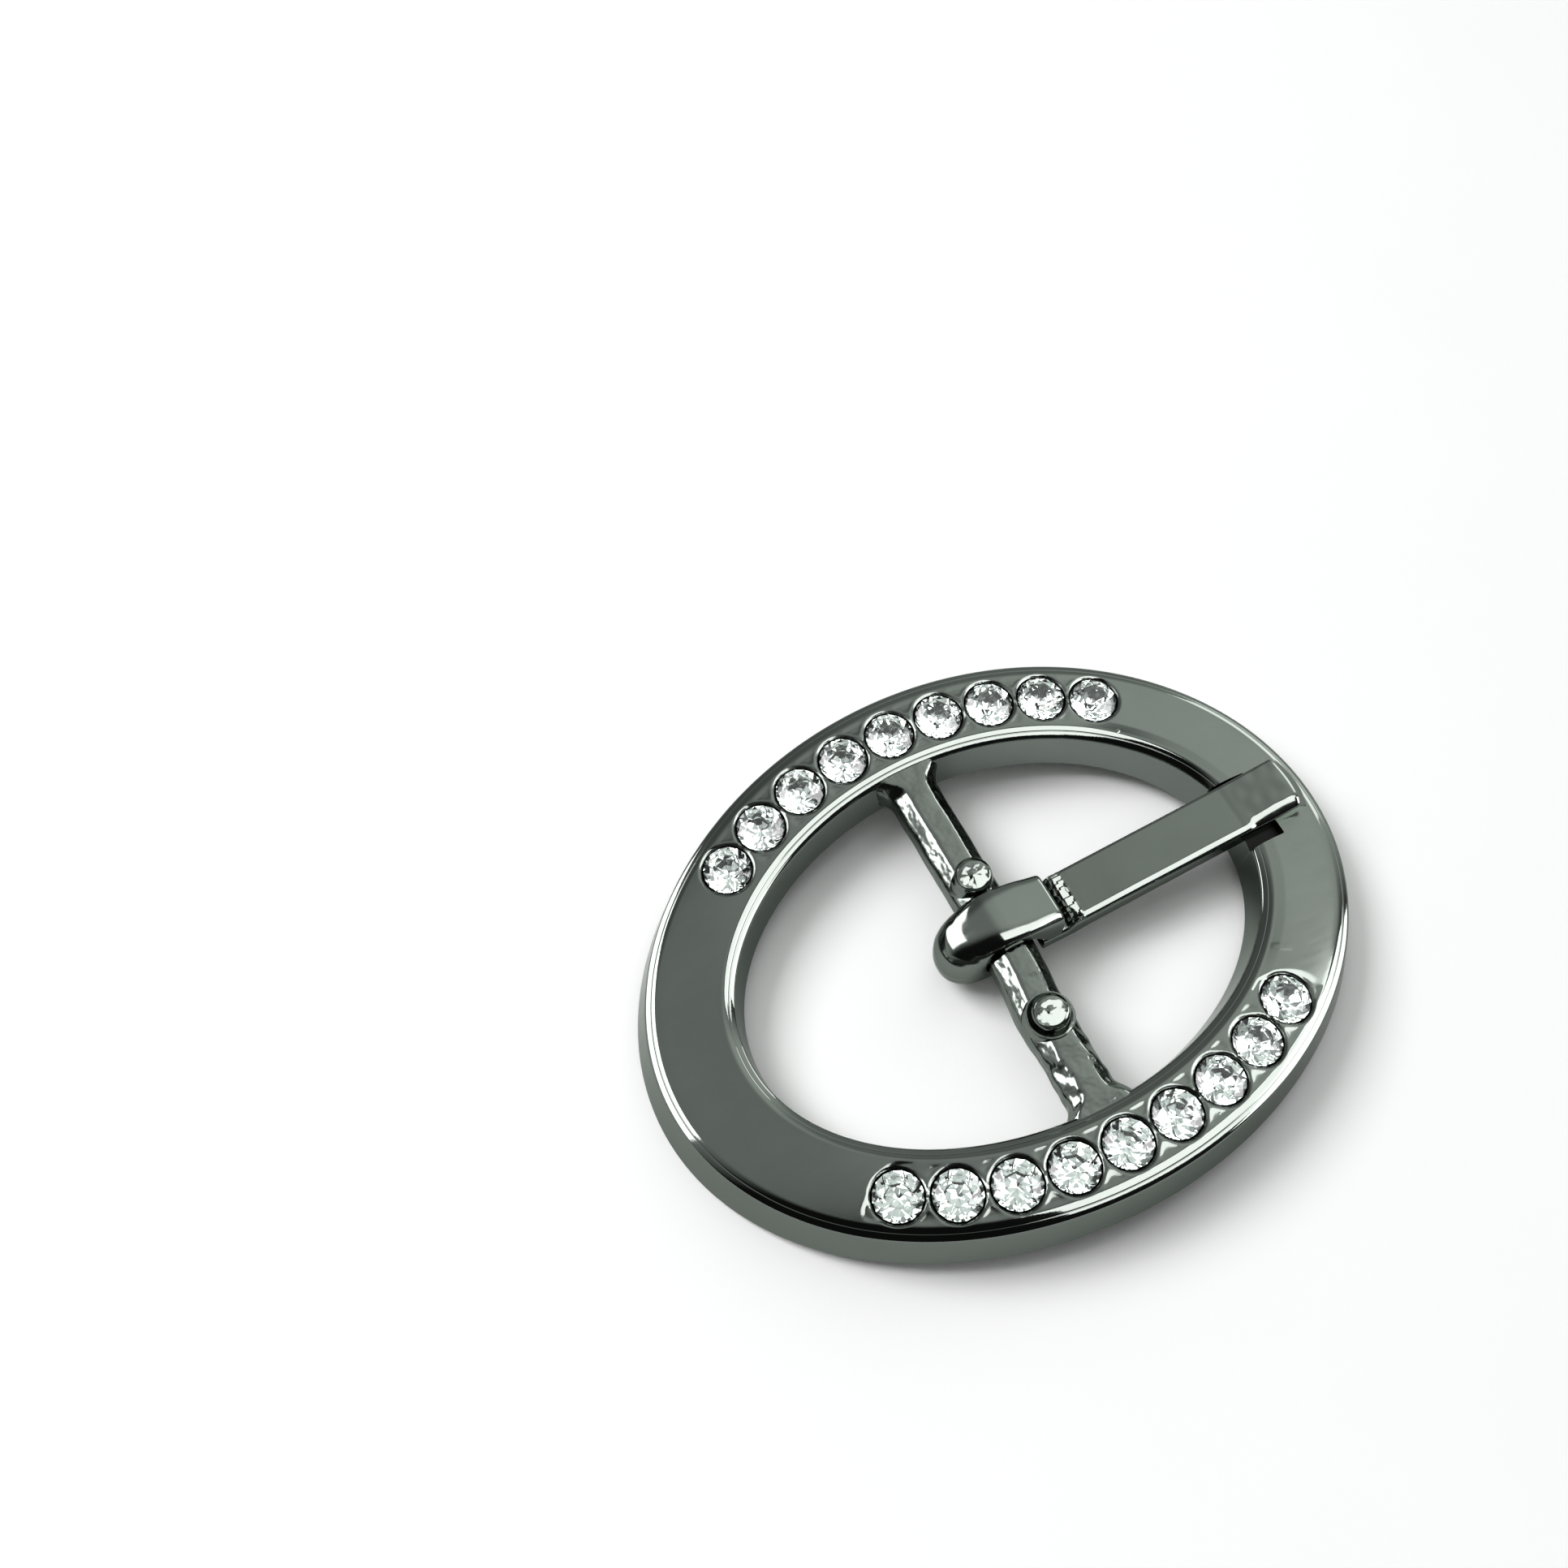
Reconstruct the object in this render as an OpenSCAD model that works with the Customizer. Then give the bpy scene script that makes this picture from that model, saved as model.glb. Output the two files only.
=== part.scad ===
// A waist-curved oval belt buckle with a hinged prong and eighteen set stones.
// X runs along the prong, Y along the bar, Z is up. The origin is on the table,
// under the middle of the ring. The buckle lies face up on the two ends of its ring.
// All lengths are in millimetres.

/* [Ring] */
// half length of the ring along X at the head of its outer wall
ring_a = 19.0; // [12:0.1:40]
// half width of the ring along Y at the head of its outer wall
ring_b = 14.54; // [9:0.1:32]
// half length of the opening along X at the head of its wall
open_a = 14.44; // [8:0.1:34]
// half width of the opening along Y at the head of its wall
open_b = 10.17; // [6:0.1:26]
// thickness of the ring, measured square to its curve
ring_t = 2.71; // [1.8:0.05:5]
// radius that the whole ring is bent to, to follow a waist
arch_r = 102; // [60:1:400]
// width of the polished rims beside the flat face
rim_w = 0.66; // [0.3:0.02:1.2]
// how far the rims fall from the flat face to the wall
rim_drop = 0.16; // [0.05:0.01:0.5]
// how far the outer wall spreads below its head
wall_draft = 0.6; // [0:0.05:1.2]
// how far the opening narrows below the head of its wall
open_draft = 0.47; // [0:0.05:1]

/* [Bar] */
// radius of the bar that the prong turns on
bar_r = 1.4; // [0.8:0.05:2.5]
// height of the bar's axis above the crown of the ring's underside
bar_z = 1.12; // [0.8:0.02:2]
// radius of the flared foot where the bar meets the ring
foot_r = 1.95; // [1.5:0.05:3]
// radius of the two stop studs on the bar
stud_r = 1.0; // [0.6:0.05:1.5]
// height of the studs above the bar's axis
stud_h = 2.1; // [1.6:0.05:3]
// where the stud on the near side stands along the bar
stud_near_y = -5.0; // [-7:0.1:-3]
// where the stud on the far side stands along the bar
stud_far_y = 3.12; // [2.9:0.02:6]

/* [Notch] */
// half width of the notch that the prong's tip rests in
notch_w = 2.15; // [1.7:0.05:3]
// where the notch ends in the ring's face along X
notch_x = 16.14; // [15:0.05:17]
// height of the notch's floor above the crown of the ring's underside
notch_z = 0.95; // [0.6:0.05:1.4]

/* [Stones] */
// stones in each of the two rows
stone_n = 9; // [3:2:11]
// girdle radius of a stone
stone_r = 1.27; // [0.8:0.01:1.4]
// distance from stone to stone along the row
stone_pitch = 2.82; // [2.6:0.01:4]
// half length of the ellipse that the rows follow
row_a = 16.86; // [12:0.1:30]
// half width of the ellipse that the rows follow
row_b = 12.35; // [8:0.1:24]
// shift of the far row along X
row_far_shift = 0.17; // [-1:0.01:1]
// shift of the near row along X
row_near_shift = -0.25; // [-1:0.01:1]
// radius of the seat bored for a stone
seat_r = 1.38; // [1:0.01:1.6]
// radius of the bright bevel at the mouth of a seat
seat_mouth_r = 1.47; // [1.4:0.01:1.8]

/* [Prong] */
// where the middle of the prong sits along the bar
prong_y = 0.35; // [-0.5:0.05:0.6]
// width of the prong's strip
prong_w = 2.96; // [2:0.02:3.4]
// width of the knuckle that wraps the bar
knuckle_w = 3.36; // [2.6:0.02:4]
// clearance between the bar and the bore of the knuckle
bore_gap = 0.06; // [0.03:0.01:0.1]
// thickness of the strip
strip_t = 1.3; // [0.8:0.05:2]
// distance from the bar's axis to the end of the tip
tip_x = 17.7; // [16:0.1:19]

/* [Hidden] */
sag = arch_r - sqrt(arch_r * arch_r - pow(ring_a + wall_draft, 2));
axis_z = sag + bar_z;
notch_floor = sag + notch_z;
arch_cz = sag - arch_r;
bore_r = bar_r + bore_gap;

// the bend: a point at x along the flat ring, h above its underside
function bent(x, y, h) = [
  (arch_r + h) * sin(x / arch_r * 180 / PI),
  y,
  arch_cz + (arch_r + h) * cos(x / arch_r * 180 / PI)
];

// height of the bent face over a place at x
function face_z(x) = arch_cz + sqrt(pow(arch_r + ring_t, 2) - x * x);

// half axis of an ellipsoid that passes a point, out from its centre and up from it
function half_axis(out, up, high) = out / sqrt(1 - pow(up / high, 2));

// speed along a row's ellipse for each degree of its angle
function row_speed(t) = sqrt(pow(row_a * sin(t), 2) + pow(row_b * cos(t), 2)) * PI / 180;

// the angle reached after walking a given length along the row from an angle
function walk(t, s) = s < 0.02 ? t + s / row_speed(t) : walk(t + 0.02 / row_speed(t), s - 0.02);

// the angle of a stone counted from the middle of its row, the same way round on both sides
function stone_angle(k, shift) =
  (k * stone_pitch + shift >= 0)
    ? 90 - (walk(90, k * stone_pitch + shift) - 90)
    : walk(90, -(k * stone_pitch + shift));

function stone_x(t) = row_a * cos(t);
function stone_y(t, side) = side * row_b * sin(t);

frame();
prong();
stone_far(1);  // stone_far_1
stone_far(2);  // stone_far_2
stone_far(3);  // stone_far_3
stone_far(4);  // stone_far_4
stone_far(5);  // stone_far_5
stone_far(6);  // stone_far_6
stone_far(7);  // stone_far_7
stone_far(8);  // stone_far_8
stone_far(9);  // stone_far_9
stone_near(1);  // stone_near_1
stone_near(2);  // stone_near_2
stone_near(3);  // stone_near_3
stone_near(4);  // stone_near_4
stone_near(5);  // stone_near_5
stone_near(6);  // stone_near_6
stone_near(7);  // stone_near_7
stone_near(8);  // stone_near_8
stone_near(9);  // stone_near_9

// a large round bar across the buckle, on the axis that the ring is bent round
module bend_bar(r) {
  translate([0, 0, arch_cz]) rotate([90, 0, 0]) cylinder(r = r, h = 60, center = true, $fn = 360);
}

// an upright oval cone: half axes at a low and a high level, with the same shape at both
module oval_cone(a0, a1, z0, z1, shape) {
  translate([0, 0, z0]) scale([1, shape, 1]) cylinder(r1 = a0, r2 = a1, h = z1 - z0, $fn = 300);
}

// a wide dome over the ring: what lies above it falls away to the outer rim
module outer_rim_dome() {
  top = sag + ring_t + rim_drop / 0.08;
  high = 46;
  long = half_axis(ring_a - rim_w, face_z(ring_a - rim_w) - top + high, high);
  wide = half_axis(ring_b - rim_w, sag + ring_t - top + high, high);
  translate([0, 0, top - high]) scale([long / high, wide / high, 1]) sphere(r = high, $fn = 360);
}

// a wide bowl over the opening: it cuts the slope of the inner rim
module inner_rim_bowl() {
  foot = sag + ring_t - rim_drop / 0.1;
  high = 40;
  long = half_axis(open_a + rim_w, foot + high - face_z(open_a + rim_w), high);
  wide = half_axis(open_b + rim_w, foot + high - sag - ring_t, high);
  translate([0, 0, foot + high]) scale([long / high, wide / high, 1]) sphere(r = high, $fn = 360);
}

// the bent oval ring: drafted walls, a curved face and underside, and two sloping rims
module ring() {
  head_z = face_z(ring_a) - rim_drop;
  side_z = sag + ring_t - rim_drop;
  slope = wall_draft / (head_z - 0.9);
  open_head_z = face_z(open_a) - rim_drop;
  open_slope = open_draft / (open_head_z - 0.94);
  difference() {
    intersection() {
      bend_bar(arch_r + ring_t);
      oval_cone(ring_a + wall_draft, ring_a + wall_draft, -1, 6, (ring_b + wall_draft) / (ring_a + wall_draft));
      oval_cone(ring_a + slope * (head_z + 1), ring_a - slope * (6 - head_z), -1, 6,
        ring_b / (ring_a - slope * (side_z - head_z)));
      outer_rim_dome();
    }
    bend_bar(arch_r);
    oval_cone(open_a - open_slope * (open_head_z + 2), open_a + open_slope * (7 - open_head_z), -2, 7,
      open_b / (open_a + open_slope * (side_z - open_head_z)));
    inner_rim_bowl();
  }
}

// the bar with its two flared feet, flattened above and below, and its two stop studs
module bar() {
  intersection() {
    translate([0, 0, axis_z]) rotate([90, 0, 0]) rotate_extrude($fn = 72) polygon([
      [0, -open_b - 0.45],
      [foot_r, -open_b - 0.45],
      [foot_r, -open_b + 0.12],
      [foot_r - 0.3, -open_b + 0.55],
      [bar_r, -open_b + 1.2],
      [bar_r, open_b - 1.2],
      [foot_r - 0.3, open_b - 0.55],
      [foot_r, open_b - 0.12],
      [foot_r, open_b + 0.45],
      [0, open_b + 0.45]
    ]);
    translate([-5, -20, sag + 0.06]) cube([10, 40, bar_z - 0.06 + bar_r - 0.12]);
  }
  translate([0, stud_near_y, axis_z]) stud();
  translate([0, stud_far_y, axis_z]) stud();
}

// a stop stud: a low cone with a flat top, rooted in the bar
module stud() {
  rotate_extrude($fn = 48) polygon([
    [0, 0.2],
    [stud_r, 0.2],
    [stud_r, stud_h - 0.3],
    [stud_r - 0.16, stud_h],
    [0, stud_h]
  ]);
}

// the seat of a stone, bored square to the bent face: a cone below, a bore, a bevelled mouth
module seat(t, side) {
  on_face(stone_x(t), stone_y(t, side)) rotate_extrude($fn = 48) polygon([
    [0, -1.75],
    [0.2, -1.75],
    [seat_r, -0.45],
    [seat_r, -0.15],
    [seat_mouth_r, 0.02],
    [seat_mouth_r, 0.6],
    [0, 0.6]
  ]);
}

// moves its children onto the bent face, turned square to it
module on_face(x, y) {
  translate(bent(x, y, ring_t)) rotate([0, x / arch_r * 180 / PI, 0]) children();
}

// the bent ring and its bar are cast in one piece; the notch and the seats are cut in it
module frame() {
  color([0.36, 0.37, 0.36]) difference() {
    union() {
      ring();
      bar();
    }
    translate([notch_x - 4, -notch_w, notch_floor]) cube([4, 2 * notch_w, 4]);
    for (k = [0:stone_n - 1]) {
      seat(stone_angle(k - (stone_n - 1) / 2, row_far_shift), 1);
      seat(stone_angle(k - (stone_n - 1) / 2, row_near_shift), -1);
    }
  }
}

// the line of the prong's top, seen from the side, from the bar's axis
step_x = 2.72;
strip_start = [4.5, 0.32];
bend_at = [13.7, 1.09];
tip_top = [16.85, 1.58];

// the side outline of the shoulder, the step and the strip
module blade_side() {
  polygon([
    [-0.3, 2.1],
    [0.6, 2.36],
    [step_x - 0.15, 1.62],
    [step_x, 1.45],
    [step_x + 0.12, -0.2],
    [step_x + 0.5, -0.26],
    strip_start,
    bend_at,
    tip_top,
    [tip_x - 0.1, 0.95],
    [tip_x, 0.48],
    [notch_x - 0.08, 0.36],
    [notch_x - 0.14, 0.14],
    [bend_at[0], bend_at[1] - strip_t],
    [strip_start[0] + 0.6, strip_start[1] - strip_t],
    [step_x + 0.6, -1.3],
    [1.0, -1.3],
    [-0.3, 0]
  ]);
}

// a long bevel along one top edge of the strip, from one point of its line to the next
module bevel(p, q, side) {
  run = norm(q - p);
  rise = atan2(q[1] - p[1], q[0] - p[0]);
  translate([p[0], side * prong_w / 2, p[1]]) rotate([0, -rise, 0]) translate([-0.3, 0, 0])
    rotate([90, 0, 90]) linear_extrude(height = run + 0.6) polygon([
      [-side * 0.2, 0.06],
      [-side * 0.2, 0],
      [0, -0.24],
      [side * 0.1, -0.24],
      [side * 0.1, 0.06]
    ]);
}

// the rounded hub of the knuckle: a disc with a domed rim, set a little behind the bar's axis
module hub() {
  half = knuckle_w / 2;
  round = 0.86;
  core = 2.5 - round;
  arc = [for (k = [0:6]) [core + round * sin(15 * k), half - round + round * cos(15 * k)]];
  translate([-0.5, 0, 0]) rotate([0, 130, 0]) rotate([90, 0, 0]) rotate_extrude($fn = 96)
    polygon(concat([[0, half]], arc, [for (k = [6:-1:0]) [arc[k][0], -arc[k][1]]], [[0, -half]]));
}

// the strip with its shoulder, its bevelled edges and its rounded tip
module blade() {
  difference() {
    rotate([90, 0, 0]) linear_extrude(height = prong_w, center = true) blade_side();
    tip_cutter();
    bevel(strip_start, bend_at, 1);
    bevel(strip_start, bend_at, -1);
    bevel(bend_at, tip_top, 1);
    bevel(bend_at, tip_top, -1);
  }
}

// what lies outside the slightly rounded end of the tip, seen from above
module tip_cutter() {
  difference() {
    translate([tip_x - 2, -3, -4]) cube([4, 6, 8]);
    translate([tip_x - 4.4, 0, -5]) cylinder(r = 4.4, h = 10, $fn = 72);
  }
}

// the tail of the hook, which runs on under the bar
module tail() {
  rotate([90, 0, 0]) linear_extrude(height = knuckle_w - 0.9, center = true)
    polygon([[-0.5, -1.8], [0.3, -2.3], [1.7, -2.38], [1.95, -2.2], [1.95, -1.5], [-0.5, -1.5]]);
}

// the open slot between the strip's root and the tail
module hook_slot() {
  rotate([90, 0, 0]) linear_extrude(height = 6, center = true)
    polygon([[0.4, -0.9], [1.0, -1.36], [3.1, -1.36], [3.1, -1.78], [0.75, -1.78], [0.1, -1.2]]);
}

// the prong: knuckle, shoulder with its step, strip and tip, turning on the bar
module prong() {
  color([0.42, 0.43, 0.42]) translate([0, prong_y, axis_z]) difference() {
    union() {
      difference() {
        hub();
        hook_slot();
      }
      blade();
      difference() {
        tail();
        hook_slot();
      }
    }
    rotate([90, 0, 0]) cylinder(r = bore_r, h = 8, center = true, $fn = 96);
  }
}

// a round stone: flat table, star, kite and girdle facets above, a faceted cone below
crown_h = 0.45;
table_r = 0.7;
kite_r = 1.03;
girdle_t = 0.07;
lower_r = 0.72;
culet_r = 0.06;
pavilion_h = 1.08;
kite_z = crown_h * (stone_r - kite_r * cos(22.5)) / (stone_r - table_r);
lower_z = -girdle_t - pavilion_h * (stone_r - lower_r * cos(22.5)) / (stone_r - culet_r);
function loop(r, z, n, turn) =
  [for (i = [0:n - 1]) [r * cos(360 * i / n + turn), r * sin(360 * i / n + turn), z]];

stone_pts = concat(
  loop(table_r, crown_h, 8, 0),
  loop(kite_r, kite_z, 8, 22.5),
  loop(stone_r, 0, 16, 0),
  loop(stone_r, -girdle_t, 16, 0),
  loop(lower_r, lower_z, 8, 22.5),
  loop(culet_r, -girdle_t - pavilion_h, 8, 0)
);
// numbers of the points: table 0, kites 8, upper girdle 16, lower girdle 32, lower kites 48, culet 56
stone_faces = concat(
  [[7, 6, 5, 4, 3, 2, 1, 0]],
  [for (i = [0:7]) [i, (i + 1) % 8, 8 + i]],
  [for (i = [0:7]) [8 + i, (i + 1) % 8, 16 + (2 * i + 2) % 16]],
  [for (i = [0:7]) [(i + 1) % 8, 8 + (i + 1) % 8, 16 + (2 * i + 2) % 16]],
  [for (i = [0:7]) [8 + i, 16 + (2 * i + 2) % 16, 16 + 2 * i + 1]],
  [for (i = [0:7]) [8 + i, 16 + 2 * i + 1, 16 + 2 * i]],
  [for (i = [0:15]) [16 + i, 16 + (i + 1) % 16, 32 + (i + 1) % 16]],
  [for (i = [0:15]) [16 + i, 32 + (i + 1) % 16, 32 + i]],
  [for (i = [0:7]) [32 + 2 * i, 32 + 2 * i + 1, 48 + i]],
  [for (i = [0:7]) [32 + 2 * i + 1, 32 + (2 * i + 2) % 16, 48 + i]],
  [for (i = [0:7]) [32 + (2 * i + 2) % 16, 48 + (i + 1) % 8, 48 + i]],
  [for (i = [0:7]) [48 + i, 48 + (i + 1) % 8, 56 + (i + 1) % 8]],
  [for (i = [0:7]) [48 + i, 56 + (i + 1) % 8, 56 + i]],
  [[56, 57, 58, 59, 60, 61, 62, 63]]
);

module cut_stone(turn) {
  color([0.86, 0.88, 0.9]) translate([0, 0, -0.14]) rotate([0, 0, turn])
    polyhedron(points = stone_pts, faces = stone_faces, convexity = 2);
}

module stone_at(t, side, turn) {
  on_face(stone_x(t), stone_y(t, side)) cut_stone(turn);
}

module stone_far(k) {
  stone_at(stone_angle(k - (stone_n + 1) / 2, row_far_shift), 1, 17 * k);
}

module stone_near(k) {
  stone_at(stone_angle(k - (stone_n + 1) / 2, row_near_shift), -1, 29 * k);
}
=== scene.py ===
# %% [markdown]
# # An oval belt buckle with two rows of cut stones
# The real thing is a small zinc casting, plated dark and polished on its rims. A prong turns on a
# bar across the middle, and eighteen glass stones sit in two curved rows. Everything here is
# worked out in millimetres and put into metres only when a mesh is made.

# %% Load the model that the pieces are fitted to
import bpy
import numpy as np
from mathutils import Matrix


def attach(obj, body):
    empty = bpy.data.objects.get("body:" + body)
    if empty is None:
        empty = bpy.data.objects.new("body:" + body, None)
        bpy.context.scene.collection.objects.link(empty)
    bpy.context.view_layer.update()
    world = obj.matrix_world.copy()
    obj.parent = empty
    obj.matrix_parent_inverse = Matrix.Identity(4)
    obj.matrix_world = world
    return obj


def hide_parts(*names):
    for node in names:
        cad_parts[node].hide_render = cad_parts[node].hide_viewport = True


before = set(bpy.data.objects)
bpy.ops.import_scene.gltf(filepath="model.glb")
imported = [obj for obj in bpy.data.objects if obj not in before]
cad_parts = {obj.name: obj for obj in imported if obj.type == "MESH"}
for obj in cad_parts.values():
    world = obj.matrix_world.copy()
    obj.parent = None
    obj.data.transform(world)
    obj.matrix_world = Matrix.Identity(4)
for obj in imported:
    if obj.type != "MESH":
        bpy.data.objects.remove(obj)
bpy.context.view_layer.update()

# %% [markdown]
# ## The sizes of the ring
# The ring is an oval band that was bent to a large radius, so that it follows a waist. Its walls
# lean a little, because a casting must leave its mould. The numbers below are the solid model's,
# but for a notch that is a third of a millimetre wider, and every shape is worked out from them, so
# the dressed buckle keeps the solid's size.

# %% Sizes in millimetres
RING_A, RING_B = 19.0, 14.54  # half axes of the ring's oval
OPEN_A, OPEN_B = 14.44, 10.17  # half axes of its opening
RING_T, BEND_R = 2.71, 102.0  # thickness, and radius of the bent underside
RIM_W, RIM_DROP = 0.66, 0.16  # width of a rim, and how far it falls in the solid
WALL_DRAFT, OPEN_DRAFT = 0.6, 0.47  # how far the outer and the opening's wall lean
DRAFT_Z, OPEN_DRAFT_Z = 0.9, 0.94  # the heights at which they have leaned that far
ROW_A, ROW_B = 16.86, 12.35  # half axes of the oval on which the stones sit
PER_ROW, PITCH = 9, 2.82  # stones in a row, and the distance between them
ROW_HALF = PER_ROW // 2 * PITCH  # from a row's middle stone to an end one
ROWS = ((1, 0.17), (-1, -0.25))  # the far and the near row: side, and shift along the oval
NOTCH_W, NOTCH_Y = 1.98, 0.17  # half width of the notch, and its middle
NOTCH_X, NOTCH_Z = 16.14, 0.95  # its end, and its floor above the arch
BAR_R, BAR_UP = 1.4, 1.12  # radius of the bar, and its axis above the arch
SAG = BEND_R - np.sqrt(BEND_R ** 2 - (RING_A + WALL_DRAFT) ** 2)
FACE_R = BEND_R + RING_T
CENTRE_Z = SAG - BEND_R
AXIS_Z = SAG + BAR_UP


def face_z(x):
    """Height of the bent face: a circle of the bend's radius plus the thickness."""
    return CENTRE_Z + np.sqrt(FACE_R ** 2 - x ** 2)


def under_z(x):
    """Height of the bent underside: the same circle, one thickness smaller."""
    widest = RING_A + WALL_DRAFT
    return CENTRE_Z + np.sqrt(BEND_R ** 2 - np.clip(x, -widest, widest) ** 2)


print("crown of the face %.2f mm, bar axis %.2f mm" % (face_z(0), AXIS_Z))

# %% [markdown]
# ## Putting arrays into a mesh
# A surface on a grid needs only its points and a rule for which four make a face. These helpers
# give the rule for whole arrays at once, and copy points and faces into a mesh in single calls.
# A mixed mesh of quads and triangles is written as one list of corners with the start of each face.

# %% Helpers for meshes
def grid_quads(rows, cols, wrap_rows=False, wrap_cols=False):
    """Corner numbers of the quads of a grid whose points are counted along its rows."""
    i = np.arange(rows if wrap_rows else rows - 1)[:, None]
    j = np.arange(cols if wrap_cols else cols - 1)[None, :]
    i2, j2 = (i + 1) % rows, (j + 1) % cols
    return np.stack([i * cols + j, i * cols + j2, i2 * cols + j2, i2 * cols + j], -1).reshape(-1, 4)


def put(name, data):
    """A new object with this data, linked to the scene."""
    thing = bpy.data.objects.new(name, data)
    bpy.context.scene.collection.objects.link(thing)
    return thing


def make_piece(name, points, quads, tris, body="ring", replaces=(), crease=40, layers=None):
    """A mesh object from points in millimetres, with quads and triangles; crease is the angle in
    degrees past which an edge is sharp, and layers are values at the points."""
    mesh = bpy.data.meshes.new(name)
    mesh.vertices.add(len(points))
    mesh.vertices.foreach_set("co", (points / 1000).ravel())
    corners = np.concatenate([quads.ravel(), tris.ravel()])
    starts = np.concatenate([np.arange(len(quads)) * 4, len(quads) * 4 + np.arange(len(tris)) * 3])
    mesh.loops.add(len(corners))
    mesh.loops.foreach_set("vertex_index", corners)
    mesh.polygons.add(len(starts))
    mesh.polygons.foreach_set("loop_start", starts)
    mesh.polygons.foreach_set("use_smooth", np.ones(len(starts), bool))
    for layer, values in (layers or {}).items():
        mesh.attributes.new(layer, "FLOAT", "POINT").data.foreach_set("value", values)
    mesh.update(calc_edges=True)
    mesh.validate()
    mesh.set_sharp_from_angle(angle=np.radians(crease))
    piece = put(name, mesh)
    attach(piece, body)
    if replaces:
        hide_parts(*replaces)
    print("%s: %d points, %d faces" % (name, len(points), len(starts)))
    return piece


def closed_tube(grid, ends=None, flip=False):
    """Points, quads and triangles of a grid whose rows are closed loops, with a fan of triangles on
    the first and the last loop; the fans meet in the loops' middles unless two points are given."""
    count, cols = grid.shape[:2]
    points = grid.reshape(-1, 3)
    if ends is None:
        ends = [points[:cols].mean(0), points[-cols:].mean(0)]
    this = np.arange(cols)
    after = np.roll(this, -1)
    last = (count - 1) * cols
    tris = np.concatenate([
        np.stack([after, this, np.full(cols, len(points))], -1),
        np.stack([last + this, last + after, np.full(cols, len(points) + 1)], -1)])
    quads = grid_quads(count, cols, wrap_cols=True)
    if flip:
        quads, tris = quads[:, ::-1], tris[:, ::-1]
    return np.concatenate([points, ends]), quads, tris


def smooth_step(low, high, x):
    """0 below low, 1 above high, and between them a cubic that starts and ends level; with the
    higher bound given first it falls instead."""
    t = np.clip((x - low) / (high - low), 0, 1)
    return t * t * (3 - 2 * t)


# %% [markdown]
# ## Where the stones sit
# Each row follows an oval halfway across the band. The stones are spaced by the length walked
# along that oval, so the oval's arc length is summed in small steps and then read backwards.

# %% Walk along the row's oval
turn = np.linspace(0, 2 * np.pi, 14401)
speed = np.hypot(ROW_A * np.sin(turn), ROW_B * np.cos(turn))
walked = np.concatenate([[0], np.cumsum((speed[1:] + speed[:-1]) / 2 * np.diff(turn))])
quarter = np.interp(np.pi / 2, turn, walked)


def row_angle(distance, side):
    """Angle on the oval after walking a distance towards +X from the middle of the far or near
    row."""
    far = np.interp(quarter - distance, walked, turn)
    return far if side > 0 else 2 * np.pi - far


numbers = np.arange(PER_ROW) - PER_ROW // 2
seats = []
for side, shift in ROWS:
    angle = row_angle(numbers * PITCH + shift, side)
    seats += [(ROW_A * np.cos(a) / BEND_R * FACE_R, side * ROW_B * abs(np.sin(a)), side)
        for a in angle]
seats = np.array(seats)
print("first far seat", seats[0].round(2), "last near seat", seats[-1].round(2))

# %% [markdown]
# ## The band as one grid
# One parameter goes round the oval and the other round the band's section: up the opening's wall,
# over the inner rim, across the face, over the outer rim, down the outer wall and back below.
# The columns are set close together only where stones and the notch need fine shapes.

# %% Choose the columns round the oval
GAP_PLAIN, GAP_STONES, GAP_NOTCH = 0.36, 0.082, 0.1  # millimetres between columns
PAST_END, PAST_MARK = 2.3, 4.2  # how far they stay close past an end stone, and to the mark
NOTCH_SPAN, MIDDLE_B = 2.9, 12.0  # half width of the fine part at the notch, on this half axis
BLUR = 61  # samples over which the spacing changes
fine = np.linspace(0, 2 * np.pi, 7201)
gap = np.full_like(fine, GAP_PLAIN)
walk_here = np.interp(fine, turn, walked)
for side, shift in ROWS:
    past = np.array([-PAST_END, PAST_END if side > 0 else PAST_MARK])
    ends = np.sort(row_angle(np.array([-ROW_HALF, ROW_HALF]) + shift + past, side))
    gap[(fine > ends[0]) & (fine < ends[1])] = GAP_STONES
gap[(abs(MIDDLE_B * np.sin(fine)) < NOTCH_SPAN) & (np.cos(fine) > 0)] = GAP_NOTCH
kernel = np.hanning(BLUR) / np.hanning(BLUR).sum()
log_gap = np.log(gap)
log_gap = np.concatenate([log_gap[-BLUR:], log_gap, log_gap[:BLUR]])
gap = np.exp(np.convolve(log_gap, kernel, "same")[BLUR:-BLUR])
count = np.concatenate([[0], np.cumsum(np.diff(walk_here) / ((gap[1:] + gap[:-1]) / 2))])
columns = int(round(count[-1]))
theta = np.interp(np.arange(columns) * count[-1] / columns, count, fine)
print("columns round the oval:", columns)

# %% [markdown]
# The two leaning walls are slices of upright cones. A cone's half axes change evenly with height,
# so one small function gives the oval of a wall at any height.

# %% The walls as ovals that change with height
HEAD_OUT, HEAD_IN = face_z(RING_A) - RIM_DROP, face_z(OPEN_A) - RIM_DROP
SIDE_HEAD = SAG + RING_T - RIM_DROP


def outer_oval(z):
    """Half axes of the outer wall at a height: a cone that widens downwards, stopped by the widest
    oval."""
    lean = WALL_DRAFT / (HEAD_OUT - DRAFT_Z)
    a = RING_A + lean * (HEAD_OUT - z)
    b = a * RING_B / (RING_A - lean * (SIDE_HEAD - HEAD_OUT))
    return np.minimum(a, RING_A + WALL_DRAFT), np.minimum(b, RING_B + WALL_DRAFT)


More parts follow.
